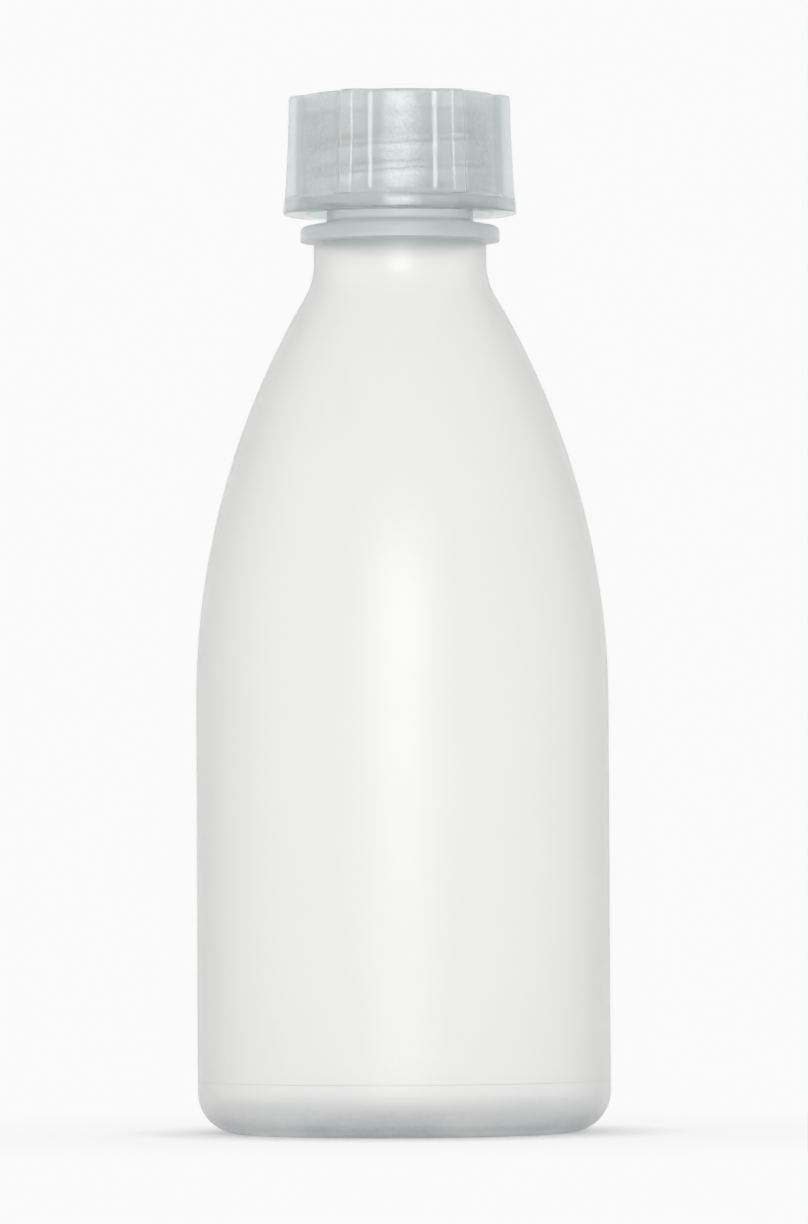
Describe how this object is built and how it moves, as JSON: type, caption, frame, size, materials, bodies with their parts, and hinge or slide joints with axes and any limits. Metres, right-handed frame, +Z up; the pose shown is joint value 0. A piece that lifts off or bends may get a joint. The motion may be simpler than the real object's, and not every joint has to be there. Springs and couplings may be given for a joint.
{
  "type": "reagent bottle",
  "caption": "Small translucent plastic laboratory bottle with a long curved shoulder, narrow neck with a flange, and a ribbed screw cap that climbs as it is turned.",
  "frame": {"origin": "centre of the circle that the bottle stands on, at the level of the table", "axes": "+Z up along the axis of the bottle and its thread, -Y the front that the picture shows"},
  "size_m": [0.061, 0.061, 0.154],
  "materials": {
    "bottle_ldpe": "natural low-density polyethylene, blow moulded, milky translucent, satin",
    "cap_pp": "natural polypropylene, injection moulded, translucent blue-grey, satin",
    "disc_pe": "soft white polyethylene liner"
  },
  "bodies": {
    "bottle": {"bottle": "bottle_ldpe"},
    "sealing_disc": {"sealing_disc": "disc_pe"},
    "screw_cap": {"screw_cap": "cap_pp"}
  },
  "joints": [
    {"name": "cap_lift", "type": "slide", "parent": "bottle", "child": "sealing_disc", "axis": [0, 0, 1], "range_m": [0, 0.01]},
    {"name": "cap_twist", "type": "hinge", "parent": "sealing_disc", "child": "screw_cap", "pos_m": [0, 0, 0.1526], "axis": [0, 0, 1], "range_deg": [0, 900]}
  ],
  "couplings": [
    {"joint": "cap_lift", "follows": "cap_twist", "m_per_rad": 0.0006366}
  ]
}
